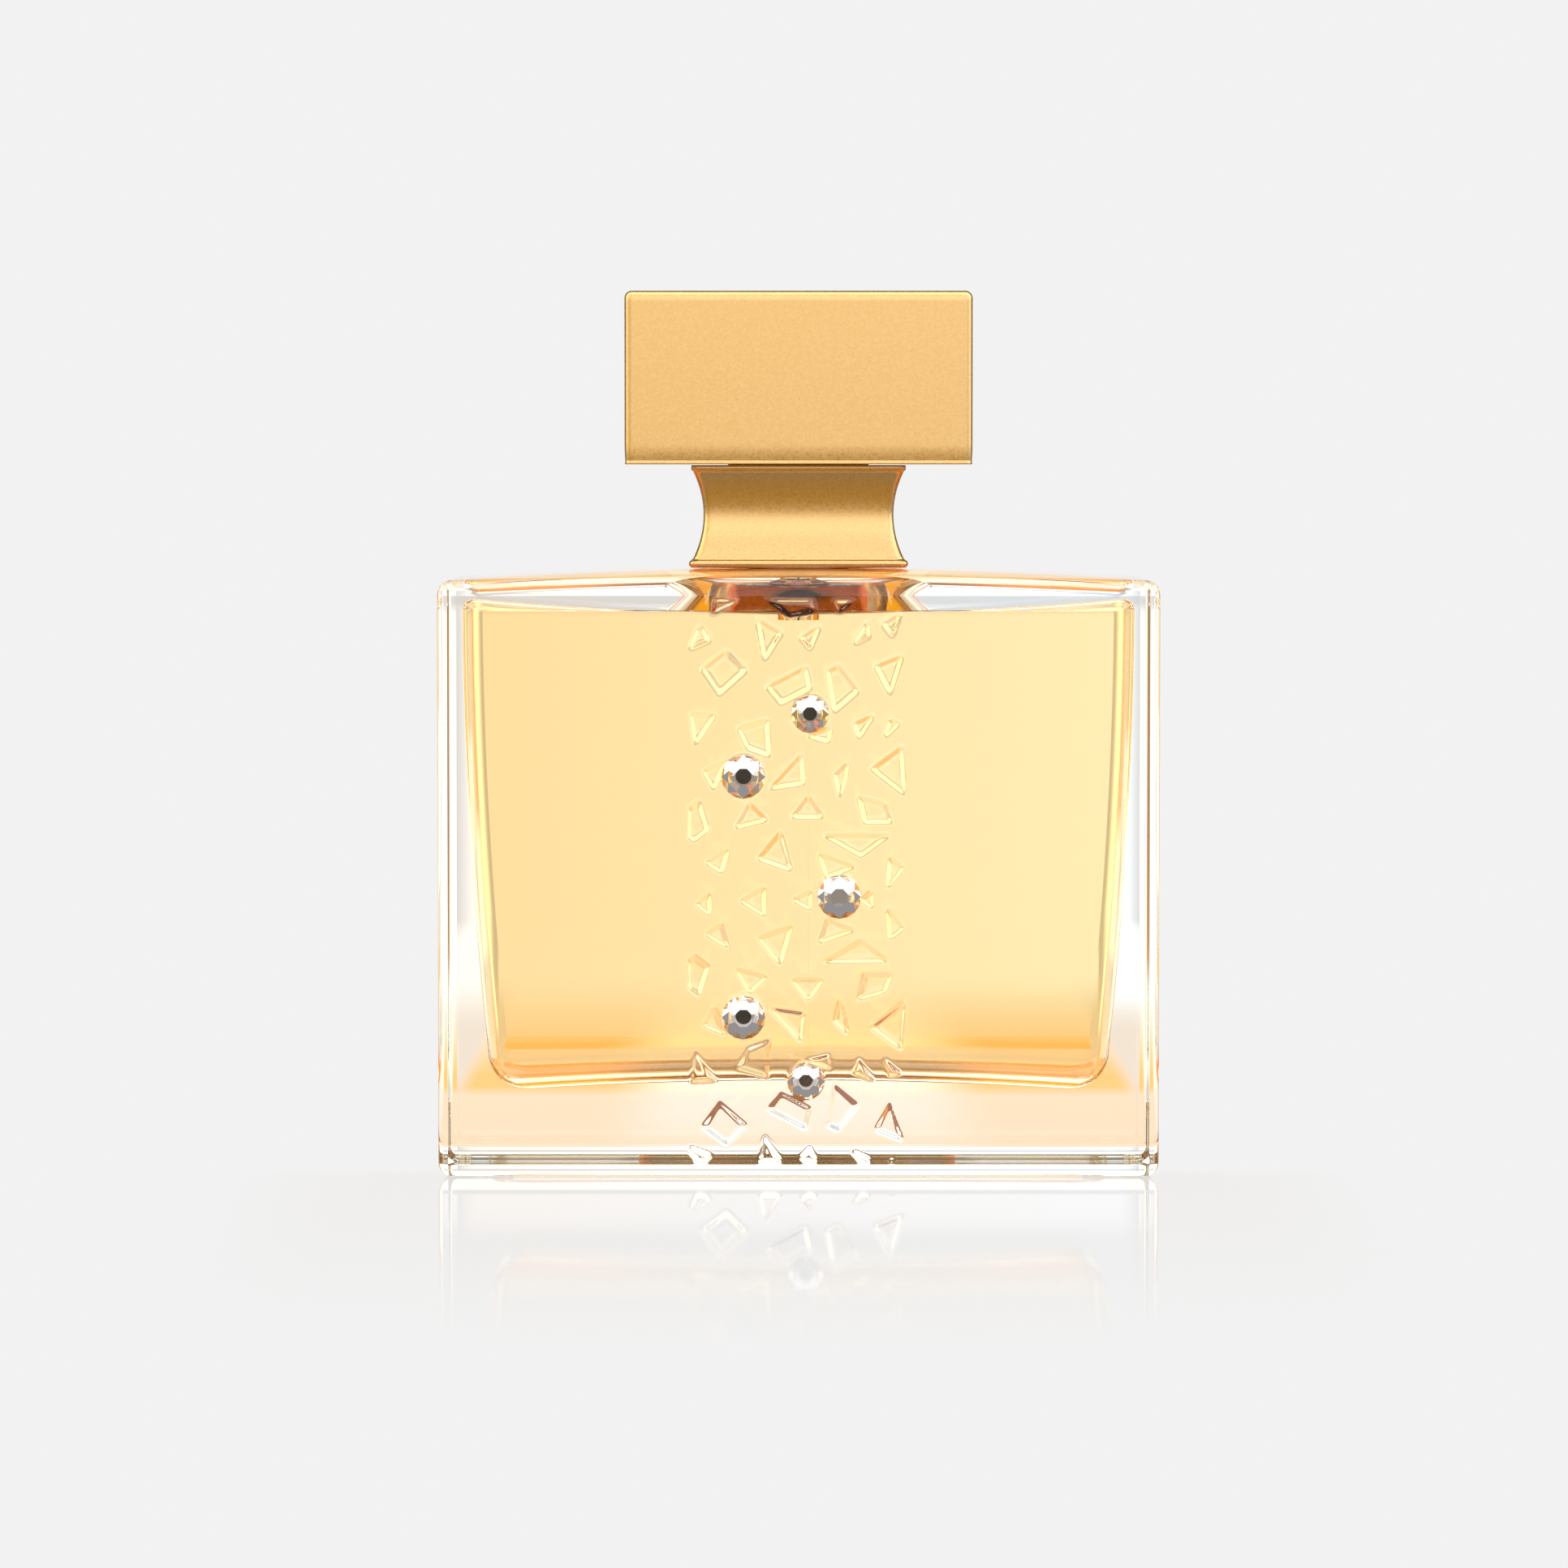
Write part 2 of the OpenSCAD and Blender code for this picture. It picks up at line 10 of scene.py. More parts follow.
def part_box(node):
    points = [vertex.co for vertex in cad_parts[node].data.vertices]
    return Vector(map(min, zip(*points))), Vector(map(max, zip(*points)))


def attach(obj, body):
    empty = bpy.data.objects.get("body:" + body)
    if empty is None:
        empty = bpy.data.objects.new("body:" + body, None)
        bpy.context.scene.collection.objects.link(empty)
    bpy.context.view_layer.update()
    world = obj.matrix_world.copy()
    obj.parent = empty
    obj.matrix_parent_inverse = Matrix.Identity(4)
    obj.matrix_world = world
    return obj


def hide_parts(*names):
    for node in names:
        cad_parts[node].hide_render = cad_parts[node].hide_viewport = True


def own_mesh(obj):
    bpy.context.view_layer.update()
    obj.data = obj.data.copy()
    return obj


MM = 0.001
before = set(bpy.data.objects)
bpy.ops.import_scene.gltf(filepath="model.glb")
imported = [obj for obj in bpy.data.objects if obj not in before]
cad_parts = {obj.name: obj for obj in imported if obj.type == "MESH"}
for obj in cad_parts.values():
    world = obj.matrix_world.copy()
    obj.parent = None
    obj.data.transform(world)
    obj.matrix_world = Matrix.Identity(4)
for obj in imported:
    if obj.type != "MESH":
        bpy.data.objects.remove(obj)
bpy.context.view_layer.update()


# ---------------------------------------------------------------- sizes, in metres, from the frame

def size_of(node):
    lo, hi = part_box(node)
    return hi - lo


body_lo, body_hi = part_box("glass_bottle")
BODY_W = body_hi.x - body_lo.x
BODY_D = 2 * body_hi.y              # the relief stands out of the front, so the back gives the depth
BODY_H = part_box("collar_shell")[0].z - 0.1 * MM
NECK_TOP = body_hi.z
CROWN = 1.4 * MM                    # rise of the shoulder from its edges to the collar
LANDING = size_of("collar_shell").y / 2
BODY_CORNER = 1.2 * MM              # vertical edges
BODY_EDGE = 1.7 * MM                # top and bottom edges
NECK_R = 6.4 * MM
BEAD_R = 7.4 * MM
BORE_R = 4.8 * MM
BEAD_H = 3.2 * MM
RELIEF_HALF = 14.5 * MM             # half width of the decorated band
RELIEF_STEP = 0.2 * MM              # grid of the front surface
RELIEF_SOFTNESS = 0.14 * MM         # rounding of the shards' edges

CHAMBER_FLOOR = 10 * MM
CHAMBER_ROOF = BODY_H - 3.6 * MM
CHAMBER_TOP_HALF = BODY_W / 2 - 3 * MM
CHAMBER_LOW_HALF = BODY_W / 2 - 6 * MM
CHAMBER_D = BODY_D - 10.4 * MM
CHAMBER_R = 5.5 * MM
FUNNEL_X = 16.5 * MM                # the hollow over the liquid, at its foot and at its top
FUNNEL_Y = 11.2 * MM
FUNNEL_TOP = BODY_H - 1.5 * MM
FUNNEL_TOP_X = 12 * MM
FUNNEL_TOP_Y = 6.4 * MM
ROOF_DIP = 2 * MM                   # the chamber's roof hangs this much lower in the middle
CRYSTALS = [f"crystal_{i}" for i in range(1, 6)]


# ---------------------------------------------------------------- mesh tools

def add_piece(name, verts, faces, body, materials, replaces=(), smooth=True, face_slots=None):
    """A mesh object in the row frame that rides on a CAD body."""
    mesh = bpy.data.meshes.new(name)
    mesh.from_pydata([tuple(v) for v in verts], [], [tuple(f) for f in faces])
    mesh.validate()
    for m in materials:
        mesh.materials.append(m)
    mesh.polygons.foreach_set("use_smooth", [smooth] * len(mesh.polygons))
    if face_slots is not None:
        mesh.polygons.foreach_set("material_index", face_slots)
    obj = bpy.data.objects.new(name, mesh)
    bpy.context.scene.collection.objects.link(obj)
    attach(obj, body)
    if replaces:
        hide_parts(*replaces)
    return obj


def loft(rings, cap_start=True, cap_end=True):
    """Quads between rings of equal length, which run anticlockwise seen from +Z, and from low to high."""
    n = len(rings[0])
    verts = np.concatenate(rings)
    faces = []
    for k in range(len(rings) - 1):
        a, b = k * n, (k + 1) * n
        faces += [(a + i, a + (i + 1) % n, b + (i + 1) % n, b + i) for i in range(n)]
    if cap_start:
        faces.append(tuple(reversed(range(n))))
    if cap_end:
        last = (len(rings) - 1) * n
        faces.append(tuple(range(last, last + n)))
    return verts, faces


def even(n):
    return np.linspace(0, 1, n + 1)


def with_ends(places, near=0.001):
    """Adds a place close to each end, so that a rounded corner doesn't shade the flat beside it."""
    return np.concatenate([places[:1], [near], places[1:-1], [1 - near], places[-1:]])


def block_outline(w, d, r, front, side=8, back=24, turn=6):
    """Rounded rectangle in plan, anticlockwise from the front left. front: places along the front edge, 0 to 1."""
    r = max(r, 0.02 * MM)
    x, y = w / 2 - r, d / 2 - r
    points = [(-x + 2 * x * t, -d / 2) for t in with_ends(front)]

    def arc(cx, cy, start):
        return [(cx + r * math.cos(math.radians(start + 90 * i / turn)),
                 cy + r * math.sin(math.radians(start + 90 * i / turn))) for i in range(1, turn)]

    points += arc(x, -y, -90)
    points += [(w / 2, -y + 2 * y * t) for t in with_ends(even(side), 0.003)]
    points += arc(x, y, 0)
    points += [(x - 2 * x * t, d / 2) for t in with_ends(even(back))]
    points += arc(-x, y, 90)
    points += [(-w / 2, y - 2 * y * t) for t in with_ends(even(side), 0.003)]
    points += arc(-x, -y, 180)
    return np.array(points)


def raised(outline, z):
    """A ring: an outline at one height, or at a height for each point."""
    return np.column_stack([outline, np.broadcast_to(z, len(outline))])


def circle(r, z, angles):
    return np.column_stack([r * np.cos(angles), r * np.sin(angles), np.full(len(angles), z)])


# ---------------------------------------------------------------- materials

def new_material(name):
    m = bpy.data.materials.new(name)
    m.use_nodes = True
    nodes = m.node_tree.nodes
    return m, nodes, m.node_tree.links, nodes["Principled BSDF"]


def clear_material(name, ior, tint=None, density=0.0, roughness=0.0):
    """Glass or liquid: a clear surface, with plain absorption inside where a tint is given."""
    m, nodes, links, shader = new_material(name)
    shader.inputs["Base Color"].default_value = (1, 1, 1, 1)
    shader.inputs["Roughness"].default_value = roughness
    shader.inputs["IOR"].default_value = ior
    shader.inputs["Transmission Weight"].default_value = 1
    if tint:
        volume = nodes.new("ShaderNodeVolumeAbsorption")
        volume.inputs["Color"].default_value = (*tint, 1)
        volume.inputs["Density"].default_value = density
        links.new(volume.outputs[0], nodes["Material Output"].inputs["Volume"])
    return m


def add_noise(nodes, links, scale, detail=3.0, roughness=0.6):
    place = nodes.new("ShaderNodeTexCoord")
    noise = nodes.new("ShaderNodeTexNoise")
    noise.inputs["Scale"].default_value = scale
    noise.inputs["Detail"].default_value = detail
    noise.inputs["Roughness"].default_value = roughness
    links.new(place.outputs["Object"], noise.inputs["Vector"])
    return noise


def vary(nodes, links, source, socket, low, high):
    """Drives a number socket between low and high from a noise."""
    span = nodes.new("ShaderNodeMapRange")
    span.inputs["From Min"].default_value = 0.3
    span.inputs["From Max"].default_value = 0.7
    span.inputs["To Min"].default_value = low
    span.inputs["To Max"].default_value = high
    links.new(source.outputs["Fac"], span.inputs["Value"])
    links.new(span.outputs["Result"], socket)


def vary_colour(nodes, links, source, socket, low, high):
    ramp = nodes.new("ShaderNodeValToRGB")
    ramp.color_ramp.elements[0].position = 0.3
    ramp.color_ramp.elements[0].color = (*low, 1)
    ramp.color_ramp.elements[1].position = 0.7
    ramp.color_ramp.elements[1].color = (*high, 1)
    links.new(source.outputs["Fac"], ramp.inputs["Fac"])
    links.new(ramp.outputs["Color"], socket)


def add_bump(nodes, links, source, shader, strength, distance):
    bump = nodes.new("ShaderNodeBump")
    bump.inputs["Strength"].default_value = strength
    bump.inputs["Distance"].default_value = distance
    links.new(source.outputs["Fac"], bump.inputs["Height"])
    links.new(bump.outputs["Normal"], shader.inputs["Normal"])


def surface_material(name, low, high, rough, metallic=0.0, grain=2500.0, bump=0.1, depth=0.02 * MM, ior=1.5):
    """Opaque finish: colour and roughness vary with a fine grain, which also stands out as a bump."""
    m, nodes, links, shader = new_material(name)
    shader.inputs["Metallic"].default_value = metallic
    shader.inputs["IOR"].default_value = ior
    fine = add_noise(nodes, links, grain)
    vary_colour(nodes, links, fine, shader.inputs["Base Color"], low, high)
    vary(nodes, links, fine, shader.inputs["Roughness"], *rough)
    add_bump(nodes, links, fine, shader, bump, depth)
    return m


flint_glass = clear_material("flint_glass", 1.52, tint=(0.88, 0.93, 0.91), density=10)
perfume_liquid = clear_material("perfume_liquid", 1.36, tint=(0.985, 0.74, 0.05), density=40)
crystal_glass = clear_material("crystal_glass", 1.56)
# Both are far below a real plastic's 1.5, so that the tube and the barrel don't show in the liquid
clear_tube = clear_material("clear_tube", 1.004)
clear_plastic = clear_material("clear_plastic", 1.37)
satin_gold = surface_material("satin_gold", (0.83, 0.53, 0.205), (0.96, 0.645, 0.285), (0.26, 0.34),
                              metallic=1, grain=3200, bump=0.08)
gold_aluminium = surface_material("gold_aluminium", (0.82, 0.54, 0.22), (0.88, 0.6, 0.27), (0.22, 0.28),
                                  metallic=1, grain=3000, bump=0.06)
bright_steel = surface_material("bright_steel", (0.6, 0.6, 0.61), (0.7, 0.7, 0.71), (0.16, 0.24),
                                metallic=1, grain=4000, bump=0.05)
white_plastic = surface_material("white_plastic", (0.78, 0.78, 0.76), (0.84, 0.84, 0.82), (0.32, 0.4), grain=1500)
milky_plastic = surface_material("milky_plastic", (0.66, 0.68, 0.72), (0.72, 0.74, 0.78), (0.35, 0.42), grain=1500)
soft_plastic = surface_material("soft_plastic", (0.74, 0.74, 0.7), (0.8, 0.8, 0.76), (0.5, 0.58), grain=1800)
carrier_plastic = surface_material("carrier_plastic", (0.74, 0.71, 0.64), (0.8, 0.77, 0.7), (0.45, 0.55), grain=1200)
black_rubber = surface_material("black_rubber", (0.015, 0.015, 0.016), (0.03, 0.03, 0.032), (0.6, 0.72), grain=2500)
black_plastic_and_painted_shade = surface_material("black_plastic_and_painted_shade", (0.012, 0.012, 0.012), (0.022, 0.022, 0.022), (0.28, 0.36), grain=1800)
silver_foil = surface_material("silver_foil", (0.86, 0.85, 0.85), (0.92, 0.91, 0.91), (0.03, 0.06),
                               metallic=1, grain=1500, bump=0.02)
# Painted reflection: the dark and brown middles of the stones' mirror coats stand in for the dark reflection in the
# stones' tables
painted_dark_reflection = surface_material("painted_dark_reflection", (0.006, 0.006, 0.006), (0.012, 0.012, 0.012), (0.3, 0.4), grain=1500)
painted_brown_reflection = surface_material("painted_brown_reflection", (0.12, 0.08, 0.07), (0.16, 0.11, 0.1), (0.15, 0.25), metallic=1, grain=1500)


# ---------------------------------------------------------------- camera and studio

VIEW_W = 193 * MM                   # width of the view at the bottle's front
FRONT_Y = -BODY_D / 2
BACKDROP = 0.888                    # radiance of the plain backdrop
SIDE_GLOW = (2.0, 1.88, 1.6)        # painted sweep beside and above the bottle, seen through the glass
FAR_GLOW = (1.0, 0.4, 0.01)         # painted orange far out, for the glass's rounded edges
TINT_LEFT = (1.05, 0.95, 0.87)
TINT_RIGHT = (1.05, 1.1, 1.16)


def make_camera():
    data = bpy.data.cameras.new("camera")
    cam = bpy.data.objects.new("camera", data)
    bpy.context.scene.collection.objects.link(cam)
    aim = Vector((-1.8 * MM, FRONT_Y, 48.6 * MM))
    cam.location = (-1.8 * MM, FRONT_Y - 0.80, 88 * MM)
    reach = aim - cam.location
    cam.rotation_mode = "QUATERNION"
    cam.rotation_quaternion = reach.to_track_quat("-Z", "Y")
    data.sensor_width = 36
    data.lens = data.sensor_width * reach.length / VIEW_W
    data.clip_start = 0.01
    bpy.context.scene.camera = cam


def emitter(name, strength, colour=(1, 1, 1)):
    m = bpy.data.materials.new(name)
    m.use_nodes = True
    nodes, links = m.node_tree.nodes, m.node_tree.links
    nodes.clear()
    out = nodes.new("ShaderNodeOutputMaterial")
    glow = nodes.new("ShaderNodeEmission")
    glow.inputs["Color"].default_value = (*colour, 1)
    glow.inputs["Strength"].default_value = strength
    links.new(glow.outputs[0], out.inputs["Surface"])
    return m, nodes, links, glow


def card(name, width, height, place, aim, material):
    """A flat studio panel that lights the bottle and shows in its glass and metal, but not to the camera."""
    w, h = width / 2, height / 2
    mesh = bpy.data.meshes.new(name)
    mesh.from_pydata([(-w, -h, 0), (w, -h, 0), (w, h, 0), (-w, h, 0)], [], [(0, 1, 2, 3)])
    mesh.materials.append(material)
    obj = bpy.data.objects.new(name, mesh)
    bpy.context.scene.collection.objects.link(obj)
    obj.location = place
    obj.rotation_mode = "QUATERNION"
    obj.rotation_quaternion = (Vector(aim) - Vector(place)).to_track_quat("Z", "Y")
    obj.visible_camera = False
    obj.visible_shadow = False
    return obj


def add_ramp(nodes, links, value, low, high, stops):
    """A quarter of the colour that follows a number: stops are (value, (r, g, b)) between low and high."""
    span = nodes.new("ShaderNodeMapRange")
    span.inputs["From Min"].default_value = low
    span.inputs["From Max"].default_value = high
    links.new(value, span.inputs["Value"])
    ramp = nodes.new("ShaderNodeValToRGB")
    elements = ramp.color_ramp.elements
    elements.remove(elements[1])
    for i, (at, colour) in enumerate(stops):
        place = (at - low) / (high - low)
        element = elements.new(place) if i else elements[0]
        element.position = place
        element.color = (*[c / 4 for c in colour], 1)
    links.new(span.outputs["Result"], ramp.inputs["Fac"])
    return ramp.outputs["Color"]


def add_step(nodes, links, value, start, end, low=0.0, high=1.0):
    """A smooth step from low at start to high at end."""
    step = nodes.new("ShaderNodeMapRange")
    step.interpolation_type = "SMOOTHSTEP"
    step.inputs["From Min"].default_value = start
    step.inputs["From Max"].default_value = end
    step.inputs["To Min"].default_value = low
    step.inputs["To Max"].default_value = high
    links.new(value, step.inputs["Value"])
    return step.outputs["Result"]


def add_maths(nodes, links, operation, *values):
    node = nodes.new("ShaderNodeMath")
    node.operation = operation
    for socket, value in zip(node.inputs, values):
        if isinstance(value, (int, float)):
            socket.default_value = value
        else:
            links.new(value, socket)
    return node.outputs[0]


def add_mix(nodes, links, kind, factor, first, second):
    """Mixes or multiplies two colours."""
    node = nodes.new("ShaderNodeMixRGB")
    node.blend_type = kind
    for socket, value in zip(node.inputs, (factor, first, second)):
        if isinstance(value, (int, float, tuple)):
            socket.default_value = value
        else:
            links.new(value, socket)
    return node.outputs[0]


def add_sweep_colour(nodes, links, x, z):
    """The painted sweep behind the bottle, not a plain one: its brightness and tint are matched to the front view.
    Its edges, such as 63.5 and 65.5 mm, lie where the liquid and the glass end on it from the front camera, so they
    slide in other views. A sixteenth of its colour, from two ramps."""
    up = add_maths(nodes, links, "MULTIPLY", 4.0, add_ramp(nodes, links, z, 0, 0.5, [
        (0, (0,) * 3), (0.058, (0.0615,) * 3), (0.062, (0.068,) * 3), (0.105, (0.079,) * 3), (0.14, (0.105,) * 3),
        (0.21, (0.24,) * 3), (0.5, (0.24,) * 3)]))
    aside = add_maths(nodes, links, "ABSOLUTE", add_maths(nodes, links, "SUBTRACT", x, 0.001))
    off = add_maths(nodes, links, "MAXIMUM", aside, up)
    level = add_ramp(nodes, links, off, 0, 0.5, [
        (0, (1.18,) * 3), (0.0635, (1.18,) * 3), (0.0655, (0.76,) * 3), (0.078, (0.76,) * 3), (0.105, SIDE_GLOW),
        (0.24, SIDE_GLOW), (0.32, FAR_GLOW), (0.5, FAR_GLOW)])
    tint = add_ramp(nodes, links, x, -0.08, 0.08, [
        (-0.08, (1.0, 0.96, 0.92)), (-0.065, (1.0, 0.96, 0.92)), (-0.0625, TINT_LEFT), (0.0645, TINT_RIGHT),
        (0.067, (1.0, 0.97, 0.94)), (0.08, (1.0, 0.97, 0.94))])
    return add_mix(nodes, links, "MULTIPLY", 1.0, level, tint)


def make_backlight():
    """The upright part of the painted sweep, which the camera sees only through the glass."""
    m, nodes, links, glow = emitter("backlight", 16.0)
    place = nodes.new("ShaderNodeNewGeometry")
    parts = nodes.new("ShaderNodeSeparateXYZ")
    links.new(place.outputs["Position"], parts.inputs[0])
    links.new(add_sweep_colour(nodes, links, parts.outputs["X"], parts.outputs["Z"]), glow.inputs["Color"])
    panel = card("backlight", 3.0, 1.6, (0, 0.45, 0.8), (0, -1, 0.8), m)
    panel.visible_glossy = False
    panel.visible_diffuse = False


def make_floor():
    """To the camera, a plain pale floor that mirrors a little in front of the bottle. Through the glass it is painted
    with light and shade: bands of orange, brown and white that stand for the bottle's shadow and the light that the
    perfume casts on the floor, placed and coloured for the front view. No light falls that way."""
    m = bpy.data.materials.new("studio_floor")
    m.use_nodes = True
    nodes, links = m.node_tree.nodes, m.node_tree.links
    nodes.clear()
    out = nodes.new("ShaderNodeOutputMaterial")
    geometry = nodes.new("ShaderNodeNewGeometry")
    parts = nodes.new("ShaderNodeSeparateXYZ")
    links.new(geometry.outputs["Position"], parts.inputs[0])
    x, y = parts.outputs["X"], parts.outputs["Y"]
    beside = add_maths(nodes, links, "ABSOLUTE", x)
    ray = nodes.new("ShaderNodeLightPath")

    plain = nodes.new("ShaderNodeEmission")
    plain.inputs["Color"].default_value = (BACKDROP, BACKDROP, BACKDROP, 1)
    gloss = nodes.new("ShaderNodeBsdfGlossy")
    gloss.inputs["Color"].default_value = (0.93, 0.89, 0.85, 1)
    gloss.inputs["Roughness"].default_value = 0.04
    patch = add_maths(nodes, links, "MULTIPLY", add_step(nodes, links, y, FRONT_Y - 0.17, FRONT_Y + 0.002, 0, 0.3),
                      add_step(nodes, links, beside, 0.05, 0.075, 1, 0))
    patch = add_maths(nodes, links, "MULTIPLY", patch,
                      add_step(nodes, links, y, FRONT_Y + 0.002, FRONT_Y + 0.012, 1, 0))
    seen = nodes.new("ShaderNodeMixShader")
    links.new(patch, seen.inputs["Fac"])
    links.new(plain.outputs[0], seen.inputs[1])
    links.new(gloss.outputs[0], seen.inputs[2])

    # Painted shadow and painted light behind the bottle: deep brown-orange in the middle and orange to the sides, right
    # behind it, for the bottle's shadow tinted by the perfume; then peach, orange and pale bands for the light that the
    # perfume casts on the floor
    sides = add_ramp(nodes, links, y, 0.0, 0.317, [
        (0.0, (1.3, 0.4, 0.02)), (0.016, (1.3, 0.36, 0.005)), (0.033, (1.3, 0.36, 0.005)),
        (0.037, (1.08, 0.84, 0.59)), (0.1, (1.1, 0.86, 0.6)), (0.113, (1.25, 0.7, 0.25)), (0.13, (1.25, 0.7, 0.25)),
        (0.16, (1.25, 0.82, 0.42)), (0.21, (1.2, 0.97, 0.72)), (0.317, (1.18, 1.04, 0.9))])
    centre = add_ramp(nodes, links, y, 0.0, 0.317, [
        (0.0, (0.35, 0.09, 0.01)), (0.033, (0.35, 0.09, 0.01)), (0.037, (1.1, 0.9, 0.68)), (0.07, (1.12, 0.97, 0.8)),
        (0.1, (1.15, 1.0, 0.82)), (0.115, (1.35, 1.15, 0.85)), (0.2, (1.3, 1.15, 0.95)),
        (0.25, (1.2, 1.1, 0.95)), (0.317, (1.18, 1.05, 0.94))])
    behind = add_mix(nodes, links, "MIX", add_step(nodes, links, beside, 0.015, 0.028), centre, sides)
    behind = add_mix(nodes, links, "MIX", add_step(nodes, links, beside, 0.0455, 0.049), behind,
                     (0.25, 0.215, 0.18, 1))
    near = add_maths(nodes, links, "MULTIPLY", add_step(nodes, links, beside, 0.07, 0.1, 1, 0),
                     add_step(nodes, links, y, 0.2, 0.32, 1, 0))
    sweep = add_mix(nodes, links, "MULTIPLY", 1.0, add_sweep_colour(nodes, links, x, parts.outputs["Z"]), (4, 4, 4, 1))
    glow = add_mix(nodes, links, "MIX", near, sweep, behind)
    ahead = add_mix(nodes, links, "MIX", add_step(nodes, links, y, -0.14, -0.09), (0.08, 0.07, 0.06, 1),
                    (0.17, 0.16, 0.155, 1))
    glow = add_mix(nodes, links, "MIX", add_step(nodes, links, y, FRONT_Y, FRONT_Y + 0.006), ahead, glow)
    through = nodes.new("ShaderNodeEmission")
    through.inputs["Strength"].default_value = 4
    links.new(glow, through.inputs["Color"])

    # What metal and polished faces mirror: painted shade, a floor darker than the one the camera sees, grey near the
    # bottle and orange-brown far in front, which darkens the collar's cove in its reflection
    dim = nodes.new("ShaderNodeEmission")
    links.new(add_mix(nodes, links, "MIX", add_step(nodes, links, y, -0.12, -0.09), (0.4, 0.27, 0.08, 1),
                      (0.3, 0.285, 0.28, 1)), dim.inputs["Color"])
    other = nodes.new("ShaderNodeMixShader")
    links.new(ray.outputs["Is Transmission Ray"], other.inputs["Fac"])
    links.new(dim.outputs[0], other.inputs[1])
    links.new(through.outputs[0], other.inputs[2])
    whole = nodes.new("ShaderNodeMixShader")
    links.new(ray.outputs["Is Camera Ray"], whole.inputs["Fac"])
    links.new(other.outputs[0], whole.inputs[1])
    links.new(seen.outputs[0], whole.inputs[2])
    links.new(whole.outputs[0], out.inputs["Surface"])

    mesh = bpy.data.meshes.new("floor")
    s = 6.0
    mesh.from_pydata([(-s, -s, 0), (s, -s, 0), (s, s, 0), (-s, s, 0)], [], [(0, 1, 2, 3)])
    mesh.materials.append(m)
    floor = bpy.data.objects.new("floor", mesh)
    floor.location.z = -0.15 * MM
    bpy.context.scene.collection.objects.link(floor)


def make_world():
    """The camera sees a plain backdrop. Metal sees a bright room in front and a dark gap round the backdrop. Through the
    glass the surroundings are painted, dark to the sides and orange behind, for the front view."""
    world = bpy.data.worlds.new("studio")
    bpy.context.scene.world = world
    world.use_nodes = True
    nodes, links = world.node_tree.nodes, world.node_tree.links
    nodes.clear()
    out = nodes.new("ShaderNodeOutputWorld")
    place = nodes.new("ShaderNodeTexCoord")
    parts = nodes.new("ShaderNodeSeparateXYZ")
    links.new(place.outputs["Generated"], parts.inputs[0])
    x, y = parts.outputs["X"], parts.outputs["Y"]
    ray = nodes.new("ShaderNodeLightPath")

    room = add_ramp(nodes, links, y, -1, 1, [
        (-1, (1.5,) * 3), (-0.96, (1.5,) * 3), (-0.88, (1.15,) * 3), (-0.65, (1.15,) * 3), (-0.35, (1.8,) * 3),
        (-0.1, (2.3,) * 3), (0.2, (0.8,) * 3), (0.38, (0.13, 0.12, 0.11)),
        (0.84, (0.13, 0.12, 0.11)), (0.93, (BACKDROP,) * 3)])
    tint = add_ramp(nodes, links, x, -0.15, 0.15, [(-0.15, (3.85, 3.6, 3.0)), (0.15, (4.15, 4.4, 5.1))])
    front = add_step(nodes, links, y, -0.5, -0.2, 1, 0)
    room = add_mix(nodes, links, "MULTIPLY", front, room, tint)
    through = add_ramp(nodes, links, y, -1, 1, [
        (-1, (1.3,) * 3), (-0.5, (1.1,) * 3), (-0.25, (0.3, 0.25, 0.2)), (-0.05, (0.2, 0.12, 0.03)),
        (0.35, (0.2, 0.12, 0.03)), (0.6, FAR_GLOW), (1, FAR_GLOW)])
    lit = add_mix(nodes, links, "MIX", ray.outputs["Is Transmission Ray"], room, through)
    around = nodes.new("ShaderNodeBackground")
    around.inputs["Strength"].default_value = 4
    links.new(lit, around.inputs["Color"])
    seen = nodes.new("ShaderNodeBackground")
    seen.inputs["Color"].default_value = (BACKDROP, BACKDROP, BACKDROP, 1)
    mix = nodes.new("ShaderNodeMixShader")
    links.new(ray.outputs["Is Camera Ray"], mix.inputs["Fac"])
    links.new(around.outputs[0], mix.inputs[1])
    links.new(seen.outputs[0], mix.inputs[2])
    links.new(mix.outputs[0], out.inputs["Surface"])


def make_lights():
    make_world()
    make_floor()
    make_backlight()


# ---------------------------------------------------------------- glass

def shoulder(x, y):
    """Height of the glass's top: level under the collar, and lower towards the front, the back and the sides."""
    along = 1 - (x / (BODY_W / 2)) ** 2
    across = np.clip((np.abs(y) - LANDING * 0.9) / (BODY_D / 2 - LANDING * 0.9), 0, 1)
    return BODY_H - CROWN + CROWN * along * (1 - across ** 2)


def front_places():
    """Places along the front edge, 0 to 1: close together in the decorated band."""
    half = BODY_W / 2 - BODY_CORNER
    band = int(2 * RELIEF_HALF / RELIEF_STEP)
    outer = 16
    left = np.linspace(-half, -RELIEF_HALF, outer, endpoint=False)
    middle = np.linspace(-RELIEF_HALF, RELIEF_HALF, band, endpoint=False)
    right = np.linspace(RELIEF_HALF, half, outer + 1)
    return (np.concatenate([left, middle, right]) + half) / (2 * half)


def blurred(values, sigma):
    reach = int(3 * sigma) + 1
    kernel = np.exp(-0.5 * (np.arange(-reach, reach + 1) / sigma) ** 2)
    kernel /= kernel.sum()
    for axis in (0, 1):
        values = np.apply_along_axis(
            lambda v: np.convolve(np.pad(v, reach, "edge"), kernel, "valid"), axis, values)
    return values


